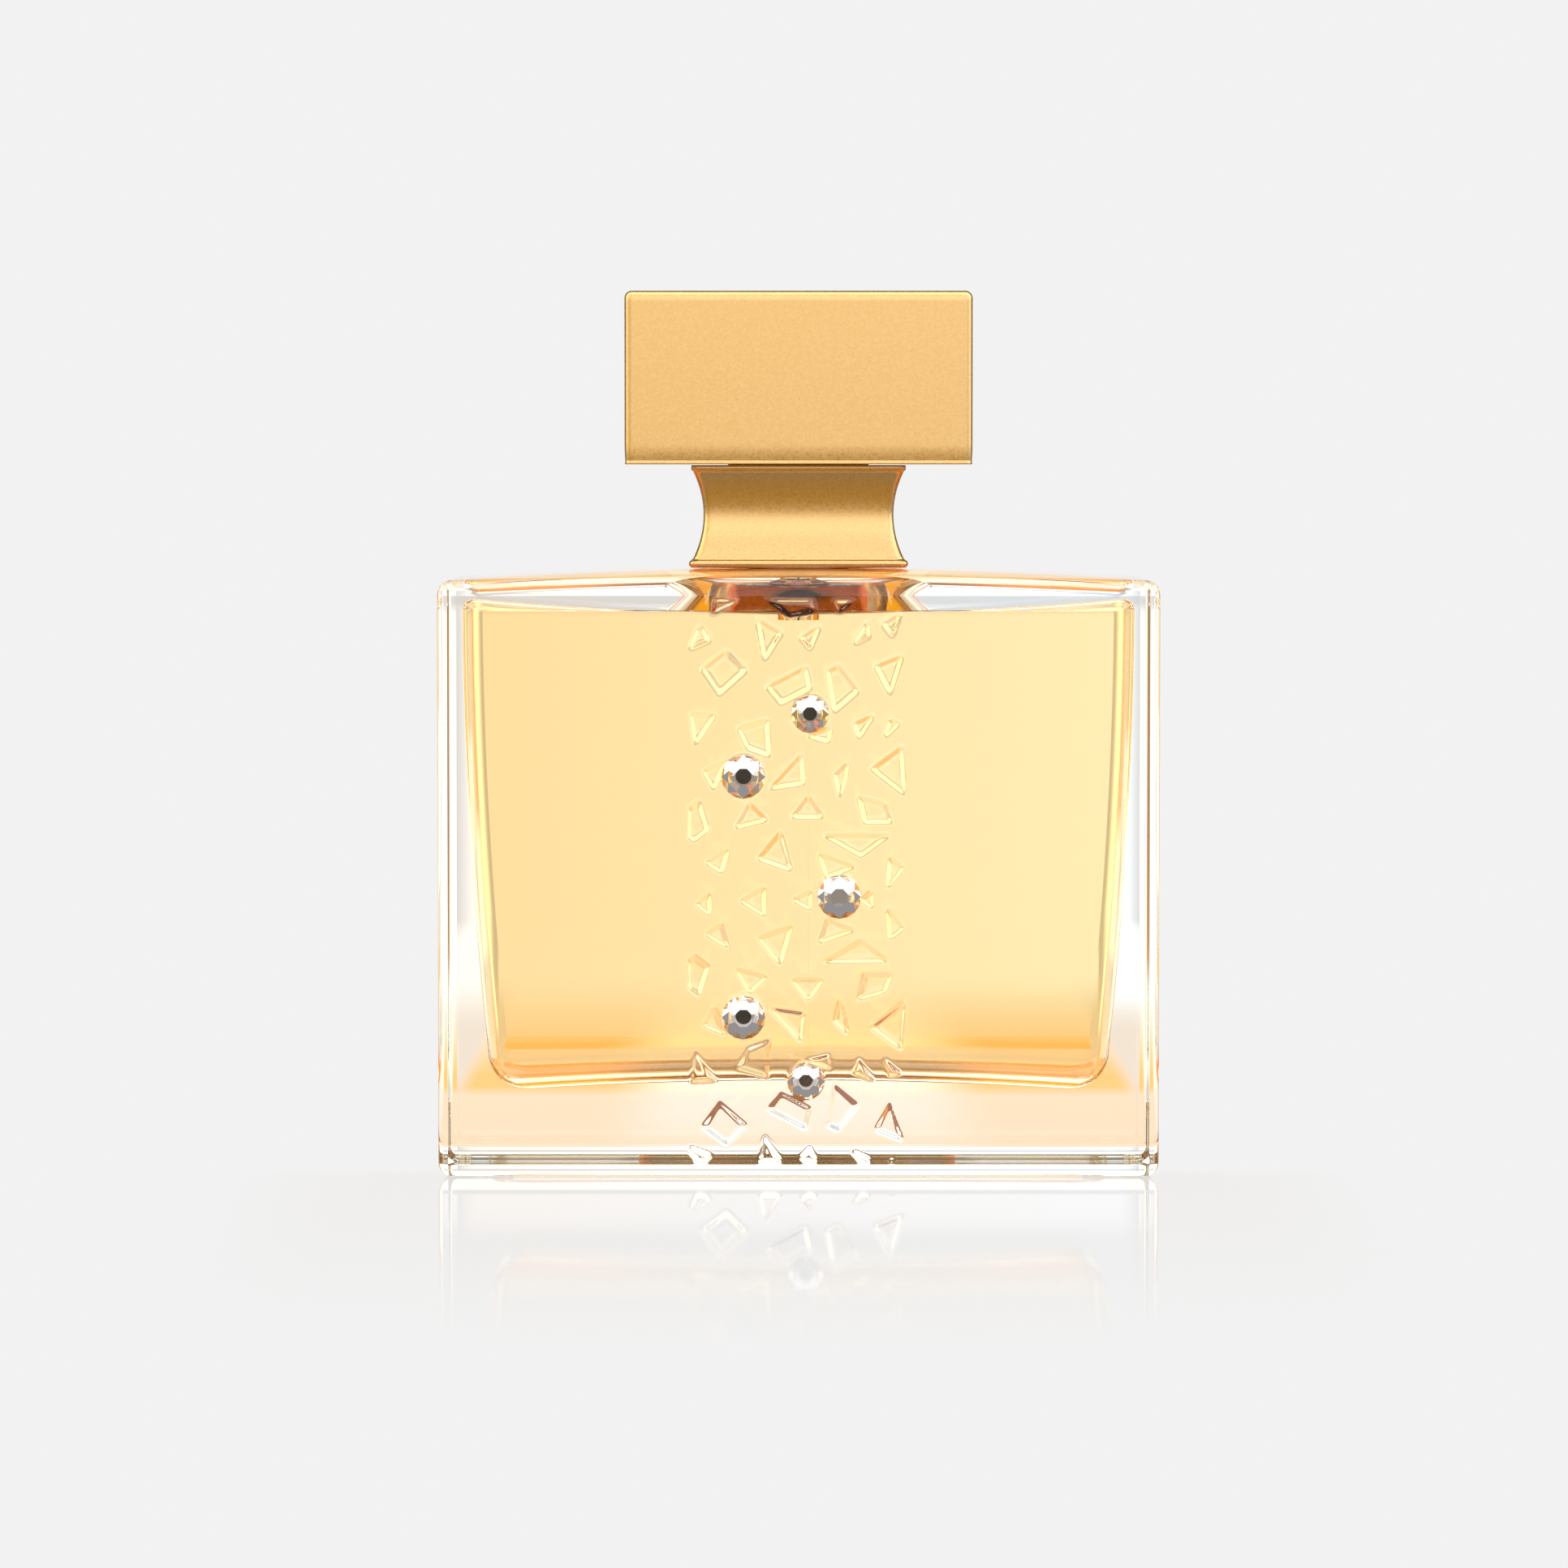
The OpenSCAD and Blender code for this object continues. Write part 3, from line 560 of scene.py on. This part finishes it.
def relief_heights(xs, zs):
    """How far the CAD front stands out of the front plane at each x and z, with edges softened as by fire polishing."""
    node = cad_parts["glass_bottle"]
    tree = BVHTree.FromPolygons([v.co for v in node.data.vertices], [p.vertices for p in node.data.polygons])
    heights = np.zeros((len(zs), len(xs)))
    for j, z in enumerate(zs):
        for i, x in enumerate(xs):
            hit = tree.ray_cast(Vector((x, FRONT_Y - 0.01, z)), Vector((0, 1, 0)), 0.012)[0]
            heights[j, i] = FRONT_Y - hit.y if hit else 0
    return blurred(heights, RELIEF_SOFTNESS / RELIEF_STEP)


def quarter(n):
    """Angles from 0 to 90 degrees, in radians."""
    return [math.pi / 2 * i / n for i in range(n + 1)]


def outer_glass_rings():
    """From the base up over the shoulder, then up the neck and over its rim."""
    front = front_places()
    side = block_outline(BODY_W, BODY_D, BODY_CORNER, front)

    def inset(d):
        return block_outline(BODY_W - 2 * d, BODY_D - 2 * d, BODY_CORNER - d, front)

    rings = [raised(inset(BODY_EDGE + 8 * MM), 0), raised(inset(BODY_EDGE + 0.5 * MM), 0)]
    for a in quarter(7)[:-1]:
        rings.append(raised(inset(BODY_EDGE * (1 - math.sin(a))), BODY_EDGE * (1 - math.cos(a))))
    top = shoulder(side[:, 0], side[:, 1]) - BODY_EDGE
    levels = int((BODY_H - 2 * BODY_EDGE) / RELIEF_STEP)
    wall = [raised(side, BODY_EDGE + (top - BODY_EDGE) * j / levels) for j in range(levels + 1)]
    carve_relief(wall, front)
    rings += wall
    for a in quarter(8)[1:]:
        edge = inset(BODY_EDGE * (1 - math.cos(a)))
        rings.append(raised(edge, shoulder(edge[:, 0], edge[:, 1]) - BODY_EDGE * (1 - math.sin(a))))
    edge = inset(BODY_EDGE)
    angles = np.arctan2(edge[:, 1], edge[:, 0])
    neck = circle(NECK_R, 0, angles)[:, :2]
    for t in [0.004, 0.03, 0.08, 0.15, 0.24, 0.34, 0.45, 0.57, 0.7, 0.84, 1]:
        p = edge + (neck - edge) * t
        rings.append(raised(p, shoulder(p[:, 0], p[:, 1])))
    bead_low = NECK_TOP - BEAD_H
    for r, z in [(NECK_R, BODY_H + 0.4 * MM), (NECK_R, bead_low - 0.8 * MM), (BEAD_R, bead_low + 0.2 * MM),
                 (BEAD_R, NECK_TOP - 0.9 * MM), (BEAD_R - 0.9 * MM, NECK_TOP), (BORE_R, NECK_TOP)]:
        rings.append(circle(r, z, angles))
    return rings


def carve_relief(wall, front):
    """Moves the front points of the wall out by the relief's height."""
    count = len(front) + 2
    xs = wall[0][:count, 0]
    inside = np.flatnonzero(np.abs(xs) <= RELIEF_HALF)
    middle = count // 2
    zs = np.array([ring[middle, 2] for ring in wall])
    heights = relief_heights(xs[inside], zs)
    for j, ring in enumerate(wall):
        ring[inside, 1] -= heights[j]


def chamber_half_width(z):
    """Half width of the chamber at a height: it leans out from the base and bulges a little."""
    t = np.clip((z - CHAMBER_FLOOR - CHAMBER_R) / (CHAMBER_ROOF - CHAMBER_FLOOR - CHAMBER_R), 0, 1)
    return CHAMBER_LOW_HALF + (CHAMBER_TOP_HALF - CHAMBER_LOW_HALF) * t + 2.8 * MM * t * (1 - t)


def chamber_rings(grow):
    """From the middle of the chamber's floor up its walls and in to the neck's bore. grow moves the surface outwards."""
    front = even(30)
    corner, top_r = 1.6 * MM, 1.6 * MM
    floor_z, roof_z = CHAMBER_FLOOR - grow, CHAMBER_ROOF + grow

    def ring(half_w, half_d, r, z):
        return raised(block_outline(2 * half_w, 2 * half_d, r, front), z)

    def domed(rings_in, share):
        x = rings_in[:, 0]
        rings_in[:, 2] += 1.4 * MM * share * np.clip(1 - (x / CHAMBER_LOW_HALF) ** 2, 0, 1)
        return rings_in

    half_d = CHAMBER_D / 2 + grow
    rings = []
    low = chamber_half_width(floor_z) + grow
    for t in (0.15, 0.35, 0.55, 0.75, 0.9, 0.97, 0.998):
        rings.append(domed(ring((low - CHAMBER_R) * t, (half_d - CHAMBER_R) * t, corner * t * 0.3, floor_z), 1))
    for a in quarter(8):
        gap = CHAMBER_R * (1 - math.sin(a))
        z = floor_z + CHAMBER_R * (1 - math.cos(a))
        rings.append(domed(ring(chamber_half_width(z) + grow - gap, half_d - gap, max(corner - 0.25 * gap, 0.3 * MM), z),
                           math.cos(a)))
    for t in with_ends(even(36))[1:]:
        z = floor_z + CHAMBER_R + (roof_z - top_r - floor_z - CHAMBER_R) * t
        rings.append(ring(chamber_half_width(z) + grow, half_d, corner, z))
    for a in quarter(6)[1:]:
        gap = top_r * (1 - math.cos(a))
        z = roof_z - top_r * (1 - math.sin(a))
        last = ring(chamber_half_width(z) + grow - gap, half_d - gap, corner - 0.5 * gap, z)
        last[:, 2] -= ROOF_DIP * np.clip(1 - (last[:, 0] / CHAMBER_TOP_HALF) ** 2, 0, 1) * math.sin(a)
        rings.append(last)
    edge = rings[-1]
    angles = np.arctan2(edge[:, 1] / FUNNEL_Y, edge[:, 0] / FUNNEL_X)
    rim = np.column_stack([(FUNNEL_X + grow) * np.cos(angles), (FUNNEL_Y + grow) * np.sin(angles)])
    bore = circle(BORE_R + grow, 0, angles)[:, :2]
    for t in (0.004, 0.06, 0.16, 0.3, 0.5, 0.7, 0.88, 0.99, 1):
        p = edge[:, :2] + (rim - edge[:, :2]) * t
        dip = ROOF_DIP * np.clip(1 - (p[:, 0] / CHAMBER_TOP_HALF) ** 2, 0, 1)
        rings.append(raised(p, roof_z - dip))
    low = rings[-1][:, 2]
    top = np.column_stack([FUNNEL_TOP_X * np.cos(angles), FUNNEL_TOP_Y * np.sin(angles)])
    for t in (0.01, 0.1, 0.3, 0.6, 0.85, 0.99, 1):
        rings.append(raised(rim + (top - rim) * t, low + (FUNNEL_TOP - low) * t))
    for t in (0.02, 0.98, 1):
        rings.append(raised(top + (bore - top) * t, FUNNEL_TOP + 0.1 * MM * min(1, 5 * t)))
    return rings, angles


def make_glass():
    outer = outer_glass_rings()
    verts, faces = loft(outer, cap_end=False)
    inner, angles = chamber_rings(0)
    inner.append(circle(BORE_R, NECK_TOP, angles))
    in_verts, in_faces = loft(inner, cap_end=False)
    base = len(verts)
    faces += [tuple(reversed([i + base for i in f])) for f in in_faces]
    verts = np.concatenate([verts, in_verts])
    faces += rim_faces(verts, base - len(outer[-1]), len(outer[-1]), len(verts) - len(inner[-1]), len(inner[-1]))
    add_piece("glass", verts, faces, "bottle", [flint_glass], ["glass_bottle"])


def rim_faces(verts, a0, na, b0, nb):
    """Joins two rings of different lengths on one circle with triangles, going round by angle."""
    def turn(v):
        return math.atan2(v[1], v[0]) % (2 * math.pi)

    a = sorted(range(a0, a0 + na), key=lambda i: turn(verts[i]))
    b = sorted(range(b0, b0 + nb), key=lambda i: turn(verts[i]))
    faces, i, j = [], 0, 0
    while i < na or j < nb:
        next_a = turn(verts[a[i]]) if i < na else 9
        next_b = turn(verts[b[j]]) if j < nb else 9
        if next_a <= next_b:
            faces.append((a[i - 1], a[i % na], b[(j - 1) % nb]))
            i += 1
        else:
            faces.append((a[(i - 1) % na], b[j % nb], b[j - 1]))
            j += 1
    return faces


def make_perfume():
    """The liquid reaches 0.06 mm into the glass, ends at the foot of the hollow, before its ten rings, and isn't
    cut out round the pump and the tube."""
    rings = chamber_rings(0.06 * MM)[0]
    verts, faces = loft(rings[:-10])
    add_piece("perfume_fill", verts, faces, "bottle", [perfume_liquid], ["perfume"])


# ---------------------------------------------------------------- crystals

def make_crystal(node):
    """A flat-back stone: a table, eight star facets and sixteen girdle facets, cut facing -Y."""
    lo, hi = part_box(node)
    centre = (lo + hi) / 2
    r = (hi.x - lo.x) / 2 / math.cos(math.radians(22.5))
    h = hi.y - lo.y
    girdle = 0.22 * h

    def ring(count, radius, height, phase):
        return [(centre.x + radius * math.cos(2 * math.pi * (i + phase) / count), hi.y - height,
                 centre.z + radius * math.sin(2 * math.pi * (i + phase) / count)) for i in range(count)]

    verts = ring(16, r, 0, 0) + ring(16, r, girdle, 0) + ring(8, 0.74 * r, 0.66 * h, 0.5) + ring(8, 0.42 * r, h, 0.5)
    faces = [tuple(range(16))]
    for i in range(16):
        faces.append((i, 16 + i, 16 + (i + 1) % 16, (i + 1) % 16))
    for i in range(8):
        here, after = 32 + i, 32 + (i + 1) % 8
        a, b, c = 16 + 2 * i, 16 + (2 * i + 1) % 16, 16 + (2 * i + 2) % 16
        faces += [(a, here, b), (b, here, c), (c, here, after)]
        faces.append((here, 40 + i, 40 + (i + 1) % 8, after))
    faces.append(tuple(reversed(range(40, 48))))
    add_piece("stone_" + node[-1], verts, faces, "bottle", [crystal_glass], [node], smooth=False)
    return centre, r, hi.y


def make_stones():
    """The stones, and the mirror coat on each flat back. The dark and brown middles are painted reflection: they stand
    in for the dark reflection in the stones' tables; a real coat has none."""
    verts, faces, slots = [], [], []
    # Each coat's middle: 0 plain silver, 1 painted dark reflection, 2 painted brown reflection
    middles = [1, 1, 0, 1, 2]
    for node, middle in zip(CRYSTALS, middles):
        centre, r, back = make_crystal(node)
        base, n = len(verts), 32
        for radius, y in ((0.36, 0.02), (0.97, 0.02), (0.97, 0.1)):
            verts += [(centre.x + radius * r * math.cos(2 * math.pi * i / n), back + y * MM,
                       centre.z + radius * r * math.sin(2 * math.pi * i / n)) for i in range(n)]
        faces.append([base + i for i in range(n)])
        slots.append(middle)
        for k in (0, n):
            faces += [(base + k + i, base + k + n + i, base + k + n + (i + 1) % n, base + k + (i + 1) % n)
                      for i in range(n)]
            slots += [0] * n
        faces.append([base + 2 * n + i for i in reversed(range(n))])
        slots.append(0)
    add_piece("stone_foils", verts, faces, "bottle", [silver_foil, painted_dark_reflection, painted_brown_reflection],
              ["crystal_foils"], smooth=False, face_slots=slots)


# ---------------------------------------------------------------- cap and collar

def rounded_top(w, d, corner, edge, z_top, front, steps=6):
    """Rings that turn a block's wall into its flat top."""
    rings = []
    for a in quarter(steps):
        gap = edge * (1 - math.cos(a))
        rings.append(raised(block_outline(w - 2 * gap, d - 2 * gap, corner - gap, front),
                            z_top - edge * (1 - math.sin(a))))
    gap = edge + 0.3 * MM
    rings.append(raised(block_outline(w - 2 * gap, d - 2 * gap, 0.1 * MM, front), z_top))
    return rings


def make_cap():
    lo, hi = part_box("cap_shell")
    w, d = hi.x - lo.x, hi.y - lo.y
    front = even(12)
    wall, lip, roll, edge = 1.8 * MM, 0.12 * MM, 0.1 * MM, 0.9 * MM
    inner_w, inner_d = w - 2 * wall, d - 2 * wall
    inside = [raised(block_outline(inner_w - 0.4 * MM, inner_d - 0.4 * MM, 0.5 * MM, front), hi.z - wall),
              raised(block_outline(inner_w, inner_d, 0.6 * MM, front), hi.z - wall - 0.2 * MM),
              raised(block_outline(inner_w, inner_d, 0.6 * MM, front), lo.z + 0.2 * MM),
              raised(block_outline(inner_w + 0.2 * MM, inner_d + 0.2 * MM, 0.6 * MM, front), lo.z)]

    def outline(gap, z):
        return raised(block_outline(w - 2 * gap, d - 2 * gap, max(edge - gap, 0.3 * MM), front), z)

    # The foot rolls in a little above a thin lip
    mouth = [outline(roll, lo.z), outline(roll - lip / 2, lo.z + lip / 3), outline(roll - lip / 2, lo.z + 2 * lip)]
    mouth += [outline(roll * (1 - t) ** 2, lo.z + 2.5 * lip + (2.4 * MM - 2.5 * lip) * t) for t in even(10)]
    wall_rings = [outline(0, lo.z + t * (hi.z - lo.z)) for t in (0.15, 0.5, 0.94)]
    verts, faces = loft(inside + mouth + wall_rings + rounded_top(w, d, edge, edge, hi.z, front))
    add_piece("cap_block", verts, faces, "cap", [satin_gold], ["cap_shell"])


def collar_profile(z0, z1):
    """[inset from the base bead, height] up the collar: a round bead, the cove and a thin flange."""
    bead, lip, cove = 1 * MM, 0.7 * MM, 1.3 * MM
    points = [(0.3 * MM, z0)]
    for i in range(7):
        a = math.radians(-60 + 20 * i)
        points.append((bead / 2 * (1 - math.cos(a)), z0 + bead / 2 + bead / 2 * math.sin(a)))
    low, high = z0 + bead + 0.1 * MM, z1 - lip
    points.append((0.5 * MM, low - 0.03 * MM))
    for i in range(33):
        t = i / 16 - 1
        points.append((0.5 * MM + cove * (1 - t * t), low + (high - low) * (1 + t) / 2))
    points += [(0.42 * MM, high + 0.02 * MM), (0.3 * MM, high + 0.1 * MM), (0.3 * MM, z1 - 0.05 * MM), (0.36 * MM, z1)]
    return points


def make_collar():
    lo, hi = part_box("collar_shell")
    w, d = hi.x - lo.x, hi.y - lo.y
    z0, z1 = lo.z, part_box("cap_shell")[0].z - 0.1 * MM
    front = even(12)
    corner = 0.9 * MM
    rings = [raised(block_outline(w - 2 * gap, d - 2 * gap, corner, front), z) for gap, z in collar_profile(z0, z1)]
    angles = np.arctan2(rings[-1][:, 1], rings[-1][:, 0])
    spigot, bore, ledge = 8.8 * MM, 7.8 * MM, 0.3 * MM
    rings.append(circle(spigot, z1, angles))
    for r, z in ((spigot, hi.z - ledge), (spigot - ledge, hi.z), (bore + 0.1 * MM, hi.z), (bore, hi.z - 0.1 * MM),
                 (bore, BODY_H + 11.6 * MM), (8.5 * MM, BODY_H + 11.6 * MM), (8.5 * MM, z0)):
        rings.append(circle(r, z, angles))
    verts, faces = loft(rings, cap_start=False, cap_end=False)
    n, last = len(angles), (len(rings) - 1) * len(angles)
    faces += [(last + i, last + (i + 1) % n, (i + 1) % n, i) for i in range(n)]
    add_piece("collar_coved", verts, faces, "bottle", [satin_gold], ["collar_shell"])


# ---------------------------------------------------------------- carried-over CAD nodes

def dress(node, material):
    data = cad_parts[node].data
    data.materials.clear()
    data.materials.append(material)


def dress_nodes():
    for node, material in {
        "neck_gasket": soft_plastic, "pump_housing": clear_plastic, "dip_tube": clear_tube,
        "check_ball": bright_steel, "piston": milky_plastic,
        "stem": white_plastic, "stem_seal": black_rubber, "pump_turret": white_plastic,
        # The collar insert is black as painted shade: it darkens the zone that shows through the glass's top under the
        # collar; the nozzle insert is plain black plastic
        "ferrule": gold_aluminium, "collar_insert": black_plastic_and_painted_shade, "actuator_body": white_plastic,
        "actuator_cover": gold_aluminium, "nozzle_insert": black_plastic_and_painted_shade, "cap_liner": carrier_plastic,
    }.items():
        dress(node, material)


def make_spring():
    """The return spring: the CAD node's own coil, copied in bright steel, rides on the bottle."""
    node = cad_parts["return_spring"]
    coil = bpy.data.objects.new("return_spring_coil", node.data.copy())
    coil.matrix_world = node.matrix_world.copy()
    bpy.context.scene.collection.objects.link(coil)
    coil.data.materials.clear()
    coil.data.materials.append(bright_steel)
    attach(coil, "bottle")
    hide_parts("return_spring")
    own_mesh(coil)


def set_picture():
    scene = bpy.context.scene
    scene.view_settings.view_transform = "Standard"
    scene.cycles.max_bounces = 32
    scene.cycles.transmission_bounces = 32
    scene.cycles.glossy_bounces = 12
    scene.cycles.transparent_max_bounces = 16


make_camera()
make_lights()
set_picture()
make_glass()
make_perfume()
make_stones()
make_cap()
make_collar()
make_spring()
dress_nodes()
